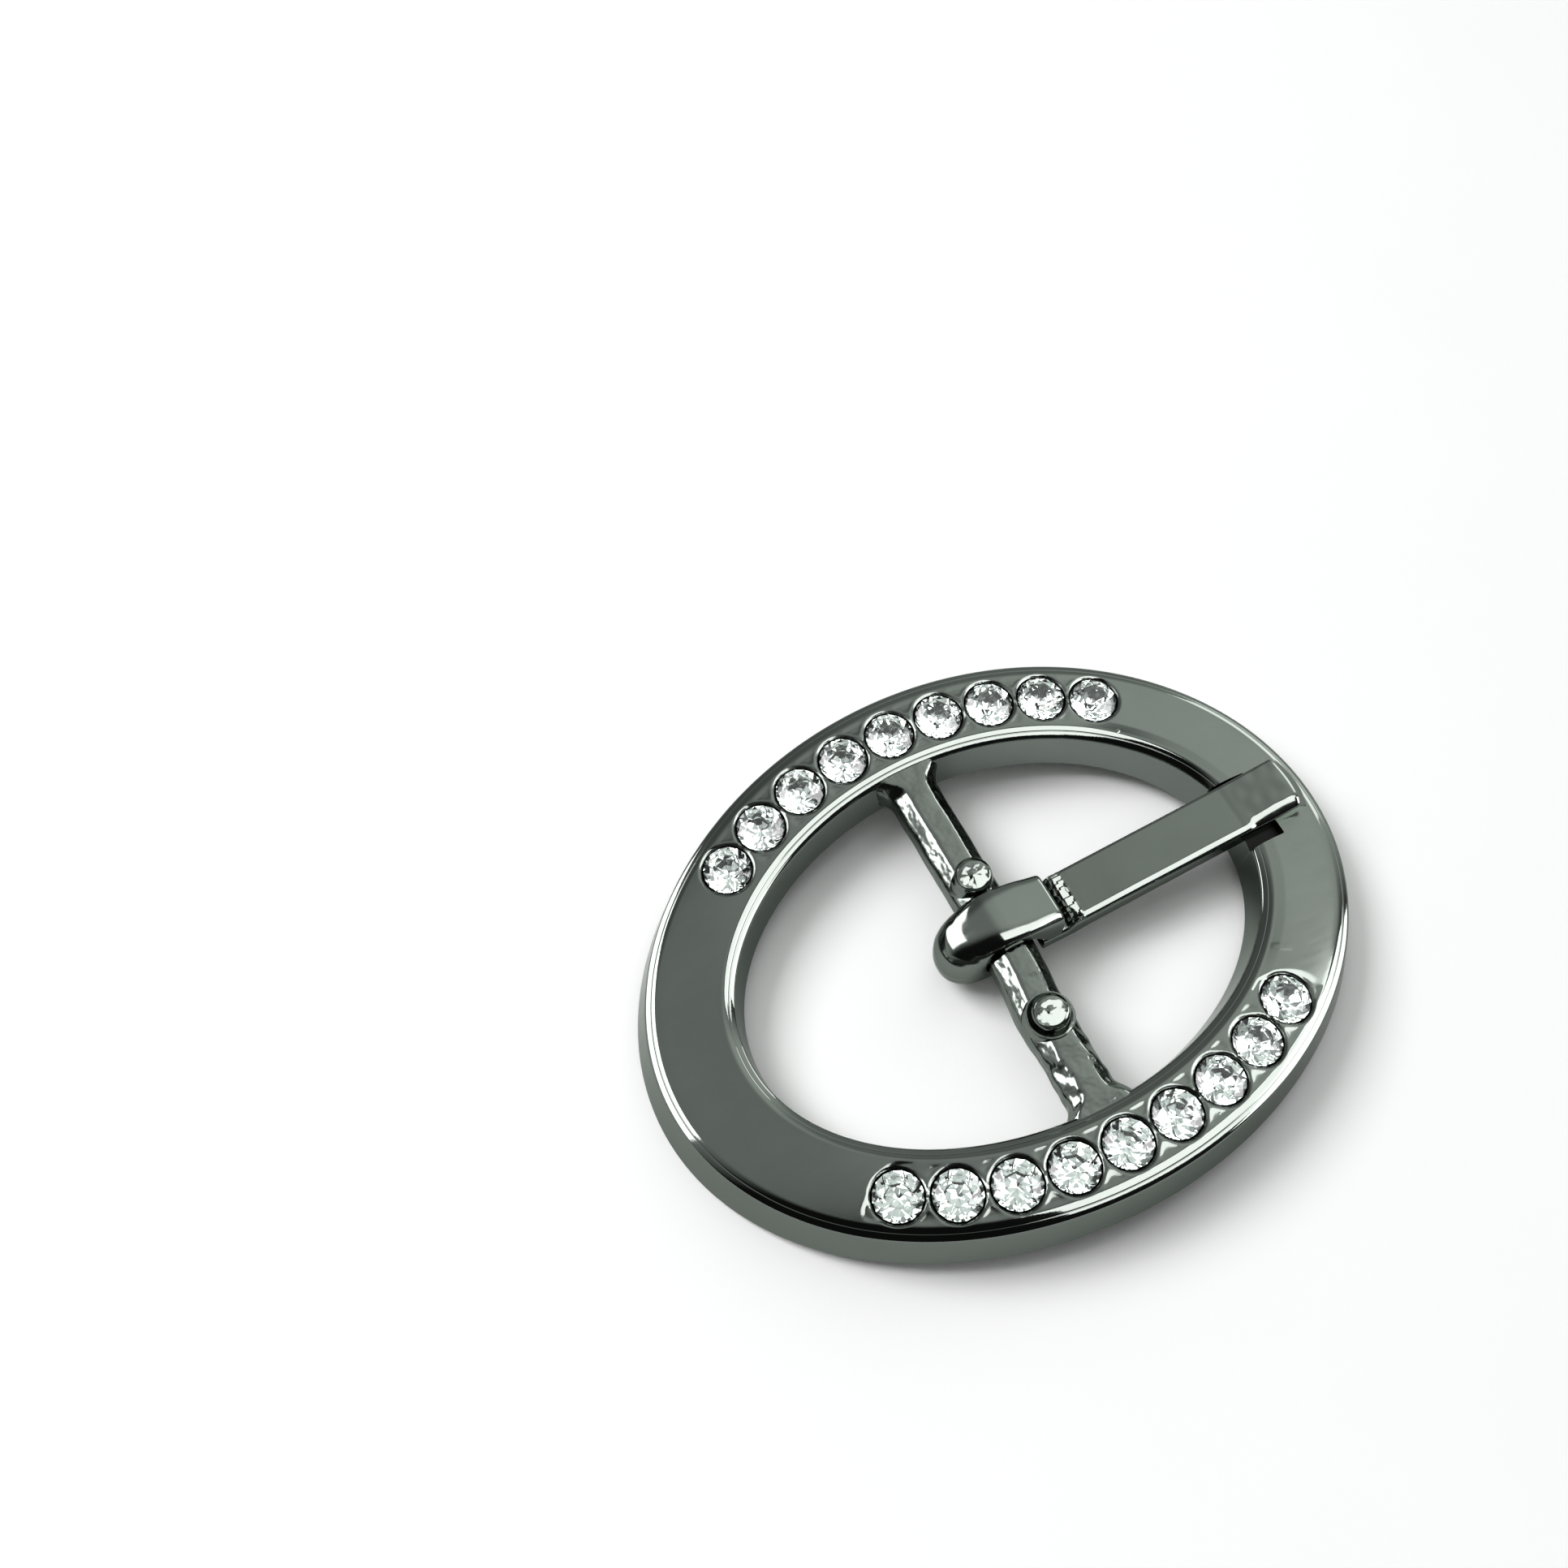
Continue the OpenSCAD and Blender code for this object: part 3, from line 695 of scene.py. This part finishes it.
# %% The strip's section
edge_in = np.array([0.42, 0.37, 0.30, 0.22, 0.15, 0.10, 0.06, 0.03, 0.01, 0.0])
edge_tilt = np.tan(np.radians([8, 14, 18, 24, 33, 44, 58, 72, 82]))
edge_down = np.concatenate([[0], np.cumsum(-np.diff(edge_in) * edge_tilt)])
FLAT_POINTS, EDGE_POINTS = 25, len(edge_in) + 2
FLAT_SHIFT, FLAT_SHARE = 0.078, 0.79  # of the level part, in half widths
FAR_BEND = 0.45  # the far bend's size, next to the near one's


def bar_section(half, low, high):
    """Closed section of the strip: a level top, edges that bend down ever faster, and sides that
    are nearly upright, at every height of its underside and its top."""
    low, high = low[:, None], high[:, None]
    flat = np.linspace(-1, 1, FLAT_POINTS + 2)[1:-1]
    level = np.zeros(FLAT_POINTS)
    inset = np.concatenate([[0.12, 0], edge_in[::-1], level, FAR_BEND * edge_in, [0, 0.12]])
    rise = np.concatenate([[0, 0.05], -edge_down[::-1], level, -FAR_BEND * edge_down, [0.05, 0]])
    on_top = np.ones(len(inset), bool)
    on_top[[0, 1, -2, -1]] = False
    side = np.repeat([-1.0, 0.0, 1.0], [EDGE_POINTS, FLAT_POINTS, EDGE_POINTS])
    y = side * (half - inset)
    y[EDGE_POINTS:-EDGE_POINTS] = half * (FLAT_SHIFT + flat * FLAT_SHARE)
    z = np.where(on_top, np.maximum(high + rise, low + 0.1), low + rise)
    return y * np.ones_like(z), z


sy, sz = bar_section(STRIP_W / 2, lower, upper)
sx = stations[:, None] * np.ones_like(sy)
print("points round the strip's section:", sy.shape[1])

# %% The round end, the torn root and the struck tip
TIP_R = 4.4  # radius of the round end, seen from above
end_pull = TIP_R - np.sqrt(TIP_R ** 2 - sy ** 2)
sx = sx - end_pull * smooth_step(16.85, 17.85, sx)
torn = smooth_step(3.59, 3.74, sx) * smooth_step(4.49, 4.34, sx)
tooth = (sy / 0.42 + 0.35 * waves(sx, sy, 1.1, 33)) % 1
struck = smooth_step(14.3, 14.9, sx) * smooth_step(17.65, 17.05, sx)
pressed = np.clip(-0.85 - sy, 0, 0.5)
sz = sz + 0.006 * waves(sx, sy, 3.1, 31) * smooth_step(3.34, 3.94, sx)
sz = sz + 0.14 * (tooth - 0.5) * torn
sz = sz - 0.012 * (1 + waves(sx, sy, 1.1, 32)) * struck - 0.3 * pressed * struck
blade_grid = np.stack([sx, PRONG_Y + sy, AXIS_Z + sz], -1)
blade = make_piece("prong_strip", *closed_tube(blade_grid, flip=True), "prong_arm", crease=30)

# %% [markdown]
# ## The stones
# Each stone is a small piece of lead glass, cut with a flat table, eight star facets, eight kites
# and sixteen narrow facets at its edge. Its pointed back is silvered like a mirror, and that is
# where the sparkle comes from. Every facet is flat, so the shading must be flat too.

# %% Cut one stone
def facet_loop(r, z, n, start):
    """n points on a level circle, the first turned by start degrees."""
    a = 2 * np.pi * np.arange(n) / n + np.radians(start)
    return np.stack([r * np.cos(a), r * np.sin(a), np.full(n, z)], -1)


STONE_R, TABLE_R, KITE_R, LOWER_R, CULET_R = 1.27, 0.7, 1.03, 0.72, 0.06
CROWN_H, GIRDLE_T, PAVILION_H = 0.45, 0.07, 1.08
BACK_BULGE = 1.12  # how much deeper the lower facets lie than a straight cone
COS = np.cos(np.pi / 8)  # how far an eight-sided edge's middle lies out, next to its corners
kite_z = CROWN_H * (STONE_R - KITE_R * COS) / (STONE_R - TABLE_R)
cone_z = PAVILION_H * (STONE_R - LOWER_R * COS) / (STONE_R - CULET_R)
lower_z = -GIRDLE_T - BACK_BULGE * cone_z
stone_points = np.concatenate([facet_loop(*loop) for loop in (
    (TABLE_R, CROWN_H, 8, 0), (KITE_R, kite_z, 8, 22.5), (STONE_R, 0, 16, 0),
    (STONE_R, -GIRDLE_T, 16, 0), (LOWER_R, lower_z, 8, 22.5),
    (CULET_R, -GIRDLE_T - PAVILION_H, 8, 0))])
print("points on one stone:", len(stone_points))

# %% Join the stone's facets
def facet_of(*corners):
    """One facet for each place in the given arrays of corner numbers."""
    return np.stack(corners, -1).tolist()


i8, i16 = np.arange(8), np.arange(16)
nxt, nxt16 = (i8 + 1) % 8, (i16 + 1) % 16
even, odd, after = 2 * i8, 2 * i8 + 1, (2 * i8 + 2) % 16
crown = [list(range(8))] + facet_of(i8, 8 + i8, nxt)
crown += facet_of(8 + i8, 16 + after, nxt) + facet_of(nxt, 16 + after, 8 + nxt)
crown += facet_of(8 + i8, 16 + odd, 16 + after) + facet_of(8 + i8, 16 + even, 16 + odd)
girdle = facet_of(16 + i16, 32 + i16, 32 + nxt16, 16 + nxt16)
back = facet_of(32 + even, 48 + i8, 32 + odd) + facet_of(32 + odd, 48 + i8, 32 + after)
back += facet_of(32 + after, 48 + i8, 48 + nxt)
back += facet_of(48 + i8, 56 + i8, 56 + nxt, 48 + nxt) + [list(range(63, 55, -1))]
facets = crown + girdle + back
backed = np.repeat([0, 1], [len(crown) + len(girdle), len(back)])
print("facets on one stone:", len(facets))

# %% Set the eighteen stones
SET_DEEP = 0.14  # how far a stone's widest edge lies below the face
FAR_TURN, NEAR_TURN = 17, 29  # degrees from one stone to the next, so that no two look alike
flat_x, flat_y, up = stone_points.T
stones = []
for k, (cx, cy, side) in enumerate(seats):
    number = k % PER_ROW + 1
    row = "far" if side > 0 else "near"
    name = "cut_stone_%s_%d" % (row, number)
    spin = np.radians((FAR_TURN if side > 0 else NEAR_TURN) * number)
    px = flat_x * np.cos(spin) - flat_y * np.sin(spin)
    py = flat_x * np.sin(spin) + flat_y * np.cos(spin)
    pn = FACE_R + up - SET_DEEP
    lean = cx / FACE_R
    placed = np.stack([pn * np.sin(lean) + px * np.cos(lean), cy + py,
        CENTRE_Z + pn * np.cos(lean) - px * np.sin(lean)], -1)
    mesh = bpy.data.meshes.new(name)
    mesh.from_pydata((placed / 1000).tolist(), [], facets)
    mesh.polygons.foreach_set("material_index", backed)
    mesh.update()
    stone = put(name, mesh)
    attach(stone, "ring")
    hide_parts("stone_%s_%d" % (row, number))
    stones.append(stone)
print("stones set:", len(stones))

# %% [markdown]
# ## Helpers for materials
# Colours are written as the hex values one would pick on a screen. A screen's numbers are not
# light: they have to be turned linear first. One more helper adds a node with its settings and
# links, so that each material reads as a short list of what is joined to what.

# %% Helpers for materials
def linear(hex_colour):
    """The linear red, green and blue of an sRGB hex value, with alpha 1."""
    v = np.array([int(hex_colour[i:i + 2], 16) / 255 for i in (1, 3, 5)])
    return (*np.where(v <= 0.04045, v / 12.92, ((v + 0.055) / 1.055) ** 2.4), 1.0)


def add_node(tree, kind, inputs=None, **settings):
    """Adds a node, sets its own settings, and sets or links its inputs: a socket is linked,
    anything else is a value."""
    node = tree.nodes.new(kind)
    for key, value in settings.items():
        setattr(node, key, value)
    for key, value in (inputs or {}).items():
        if isinstance(value, bpy.types.NodeSocket):
            tree.links.new(value, node.inputs[key])
        else:
            node.inputs[key].default_value = value
    return node


def new_material(name):
    """A node material with its output and the Object coordinates, which stay on the piece."""
    mat = bpy.data.materials.new(name)
    mat.use_nodes = True
    tree = mat.node_tree
    tree.nodes.clear()
    out = add_node(tree, "ShaderNodeOutputMaterial")
    return mat, tree, out, add_node(tree, "ShaderNodeTexCoord").outputs["Object"]


def mottled(name, scale, detail, colours, finish):
    """Principled material with these inputs, whose colour wanders between two along a noise."""
    mat, tree, out, where = new_material(name)
    noise = add_node(tree, "ShaderNodeTexNoise",
        {"Vector": where, "Scale": scale, "Detail": detail}).outputs["Fac"]
    tint = add_node(tree, "ShaderNodeMix",
        {"Factor": noise, "A": linear(colours[0]), "B": linear(colours[1])},
        data_type="RGBA").outputs["Result"]
    shader = add_node(tree, "ShaderNodeBsdfPrincipled", {"Base Color": tint, **finish})
    tree.links.new(shader.outputs["BSDF"], out.inputs["Surface"])
    return mat


# %% [markdown]
# ## Dark plated zinc
# The casting is zinc with a bright dark-grey nickel plate, the finish that sellers call gunmetal.
# On the rims the plate is mirror bright. The flat face was left satin by a fine brush before
# plating, so it scatters the light softly, and the eye sees a broad, quiet grey. The cups under
# the stones and the floor of the notch are made dull and painted nearly black: painted shade for
# hollows that the light hardly reaches. The brush leaves lines a few hundredths of a millimetre
# apart, too fine to show here, so they are drawn 0.3 mm apart and 3 mm long. The grain is 0.1 mm
# wide, dents are about 1 mm wide, and casting pits lie about 4 mm apart. The bar was cast rough,
# so its dents are deeper.

# %% The plated metals
def plated_metal(name, colours, satin, dent, mirror=None):
    """Principled metal over fine grain, pits and dents of a height in millimetres. With a mirror
    value, the polish attribute lowers its roughness from satin to that, and the attribute that
    marks the notch floor and the cups makes it dull and paints it nearly black, a painted shade."""
    mat, tree, out, where = new_material(name)
    grain, cloud, dents = (add_node(tree, "ShaderNodeTexNoise",
        {"Vector": where, "Scale": scale, "Detail": detail, "Roughness": gain}).outputs["Fac"]
        for scale, detail, gain in ((9000.0, 2.0, 0.6), (420.0, 3.0, 0.5), (1000.0, 2.0, 0.5)))
    turned = add_node(tree, "ShaderNodeMapping",
        {"Vector": where, "Rotation": (0, 0, np.radians(-62.5)),
        "Scale": (350.0, 3500.0, 350.0)}).outputs["Vector"]
    brush = add_node(tree, "ShaderNodeTexNoise",
        {"Vector": turned, "Scale": 1.0, "Detail": 3.0, "Roughness": 0.6}).outputs["Fac"]
    rough = add_node(tree, "ShaderNodeMapRange",
        {"Value": brush, "From Min": 0.3, "From Max": 0.7, "To Min": satin - 0.04,
        "To Max": satin + 0.04}).outputs["Result"]
    tint = add_node(tree, "ShaderNodeMix",
        {"Factor": cloud, "A": linear(colours[0]), "B": linear(colours[1])},
        data_type="RGBA").outputs["Result"]
    if mirror is not None:
        shine, recess_shade = (add_node(tree, "ShaderNodeAttribute", attribute_name=layer).outputs["Fac"]
            for layer in ("polish", "shaded_recess"))
        for factor, value in ((shine, mirror), (recess_shade, 0.5)):
            rough = add_node(tree, "ShaderNodeMix", {"Factor": factor, "A": rough, "B": value},
                data_type="FLOAT").outputs["Result"]
        # Painted shade: on the notch floor and in the cups the colour is mixed to near black.
        tint = add_node(tree, "ShaderNodeMix", {"Factor": recess_shade, "A": tint,
            "B": linear("#1E1F1E")}, data_type="RGBA").outputs["Result"]
    near_speck = add_node(tree, "ShaderNodeTexVoronoi",
        {"Vector": where, "Scale": 260.0}).outputs["Distance"]
    speck = add_node(tree, "ShaderNodeMapRange",
        {"Value": near_speck, "From Min": 0.02, "From Max": 0.035, "To Min": 1.0,
        "To Max": 0.0}).outputs["Result"]
    bumps = {}
    for height, strength, mm in ((speck, 0.5, 0.02), (dents, 1.0, dent), (grain, 0.12, 0.006)):
        bumps = {"Normal": add_node(tree, "ShaderNodeBump", {"Height": height,
            "Strength": strength, "Distance": mm / 1000, **bumps}).outputs["Normal"]}
    shader = add_node(tree, "ShaderNodeBsdfPrincipled", {"Base Color": tint, "Metallic": 1.0,
        "Roughness": rough, "Specular Tint": linear("#C8CCC8"), **bumps})
    tree.links.new(shader.outputs["BSDF"], out.inputs["Surface"])
    return mat


plates = (([ring], "dark_nickel_plated_zinc", "#717772", 0.21, 0.0015, 0.05),
    ([bar] + studs, "dark_nickel_cast_bar", "#757B76", 0.13, 0.09, None),
    ([hook, blade], "dark_nickel_plated_prong", "#717772", 0.12, 0.003, None))
for pieces, name, lighter, satin, dent, mirror in plates:
    plate = plated_metal(name, ("#6A706B", lighter), satin, dent, mirror)
    for piece in pieces:
        piece.data.materials.append(plate)
print("metals:", len(plates))

# %% [markdown]
# ## Lead glass with a silvered back
# Lead glass bends light more than window glass, with an index near 1.6. The back is a thin film
# of silver under lacquer. Seen through the crown it is a mirror, so that part of the stone gets a
# plain metal, and only the front lets light through.

# %% The stone's two materials
glass, tree, out, where = new_material("lead_crystal_glass")
faint = add_node(tree, "ShaderNodeTexNoise",
    {"Vector": where, "Scale": 900.0, "Detail": 1.0}).outputs["Fac"]
soft = add_node(tree, "ShaderNodeMapRange",
    {"Value": faint, "To Min": 0.0, "To Max": 0.02}).outputs["Result"]
shader = add_node(tree, "ShaderNodeBsdfPrincipled",
    {"Base Color": linear("#F7FBFA"), "Roughness": soft, "IOR": 1.6, "Transmission Weight": 1.0})
tree.links.new(shader.outputs["BSDF"], out.inputs["Surface"])

foil = mottled("silvered_stone_back", 1500.0, 2.0, ("#D2D6D4", "#DEE2E0"),
    {"Metallic": 1.0, "Roughness": 0.06})
for stone in stones:
    stone.data.materials.append(glass)
    stone.data.materials.append(foil)
print("materials:", len(bpy.data.materials))

# %% [markdown]
# ## Table, light and camera
# The buckle lies on a plain white table. Polished metal shows mostly what stands round it, so
# large soft panels are placed where their reflections fall on the rims, with dim space between
# them for the dark lines. The panels show in metal and glass only. Two more lamps, which don't
# show there, light the table, and one of them stands behind to give the soft shadow. Beyond the
# table's edge the room itself is seen plain and pale.

# %% The table
TABLE_HALF = 0.6  # metres
table_mesh = bpy.data.meshes.new("table_top")
g = np.linspace(-TABLE_HALF, TABLE_HALF, 41)
gx, gy = np.meshgrid(g, g, indexing="ij")
table_points = np.stack([gx, gy, np.zeros_like(gx)], -1).reshape(-1, 3)
table_quads = grid_quads(len(g), len(g))[:, ::-1]
table_mesh.from_pydata(table_points.tolist(), [], table_quads.tolist())
table_mesh.update()
table = put("table_top", table_mesh)
table.data.materials.append(mottled("matt_white_paper", 60.0, 3.0, ("#F8F8F8", "#FBFBFB"),
    {"Roughness": 0.9, "Specular IOR Level": 0.1}))
print("faces of the table:", len(table_quads))

# %% The soft panels
def soft_panel(name, towards, along, distance, size, radiance, for_metal):
    """An area lamp in a direction from the buckle, facing it, its first side along a second
    direction. Its power is its radiance times pi times its area. One kind shows in metal and
    glass, the other only lights the table."""
    lamp = bpy.data.lights.new(name, "AREA")
    lamp.shape = "RECTANGLE"
    lamp.size, lamp.size_y = size
    lamp.energy = radiance * np.pi * size[0] * size[1]
    lamp.color = (1.0, 0.965, 0.99) if for_metal else (1.0, 1.0, 1.0)
    spot = put(name, lamp)
    z = np.array(towards, float) / np.linalg.norm(towards)
    x = np.array(along, float) - np.dot(along, z) * z
    x = x / np.linalg.norm(x)
    y = np.cross(z, x)
    place = z * distance
    spot.matrix_world = Matrix([[x[i], y[i], z[i], place[i]] for i in range(3)] + [[0, 0, 0, 1]])
    spot.visible_glossy = for_metal
    spot.visible_diffuse = not for_metal


soft_panel("shadow_lamp", (-0.6, 0.6, 1.0), (1, 1, 0), 0.5, (0.24, 0.24), 10.5, False)
soft_panel("fill_lamp", (0.0, -0.1, 1.0), (1, 0, 0), 0.5, (0.5, 0.5), 0.68, False)
soft_panel("top_panel", (0.42, -0.32, 0.85), (1, 0, 0), 0.4, (0.36, 0.26), 5.5, True)
soft_panel("right_panel", (0.86, -0.44, 0.38), (0, 1, 0), 0.4, (0.27, 0.26), 7.0, True)
soft_panel("low_right_panel", (0.88, 0.35, 0.25), (0, 1, 0), 0.4, (0.16, 0.12), 3.5, True)
soft_panel("left_panel", (-0.723, 0.573, 0.390), (0.392, 0.863, -0.319), 0.4, (0.42, 0.20), 7.5,
    True)
print("lamps:", len(bpy.data.lights))

# %% [markdown]
# The room's brightness depends on the direction alone: brighter to the right, dark in front and
# dimmer again far behind. The camera itself sees one even value, so that the background is plain.

# %% The room
world = bpy.data.worlds.new("studio")
bpy.context.scene.world = world
world.use_nodes = True
tree = world.node_tree
heading = add_node(tree, "ShaderNodeTexCoord").outputs["Generated"]
split = add_node(tree, "ShaderNodeSeparateXYZ", {"Vector": heading})
ramps = (("X", -0.15, 0.6, 0.68, 1.36), ("Y", -0.14, 0.2, 0.03, 1.0), ("Y", 0.42, 0.68, 1.0, 0.42))
right, front, behind = (add_node(tree, "ShaderNodeMapRange",
    {"Value": split.outputs[axis], "From Min": start, "From Max": stop, "To Min": at_start,
    "To Max": at_stop}, interpolation_type="SMOOTHSTEP").outputs["Result"]
    for axis, start, stop, at_start, at_stop in ramps)
middle = add_node(tree, "ShaderNodeMath", {0: front, 1: behind},
    operation="MULTIPLY").outputs["Value"]
level = add_node(tree, "ShaderNodeMath", {0: right, 1: middle},
    operation="MULTIPLY").outputs["Value"]
from_camera = add_node(tree, "ShaderNodeLightPath").outputs["Is Camera Ray"]
strength = add_node(tree, "ShaderNodeMix",
    {"Factor": from_camera, "A": level, "B": 0.95}, data_type="FLOAT").outputs["Result"]
sky = tree.nodes["Background"]
sky.inputs["Color"].default_value = linear("#FAFDFB")
tree.links.new(strength, sky.inputs["Strength"])
bpy.context.scene.view_settings.view_transform = "Standard"
print("nodes of the room:", len(tree.nodes))

# %% [markdown]
# The camera stands where the photograph was taken from. Its place in millimetres, the directions
# of its picture and its focal length in pixels were fitted to the photograph. The lens is that
# length, scaled from the picture's width to the sensor's.

# %% The camera
VIEW = np.array([0.19600, 0.39153, -0.89905])
RIGHT = np.array([0.88812, -0.45957, -0.00653])
DOWN = np.array([-0.41573, -0.79718, -0.43780])
PICTURE_WIDTH, FOCAL_PIXELS, SENSOR = 1932, 2300.23, 36.0
place = np.array([-25.38, -26.09, 92.82]) / 1000
camera_data = bpy.data.cameras.new("camera")
camera_data.sensor_width = SENSOR
camera_data.lens = FOCAL_PIXELS / PICTURE_WIDTH * SENSOR
camera_data.clip_start = 0.005
camera_data.clip_end = 10.0
camera = put("camera", camera_data)
camera.matrix_world = Matrix([[RIGHT[i], -DOWN[i], -VIEW[i], place[i]] for i in range(3)]
    + [[0, 0, 0, 1]])
bpy.context.scene.camera = camera
print("lens %.3f mm" % camera_data.lens)


bpy.context.view_layer.update()
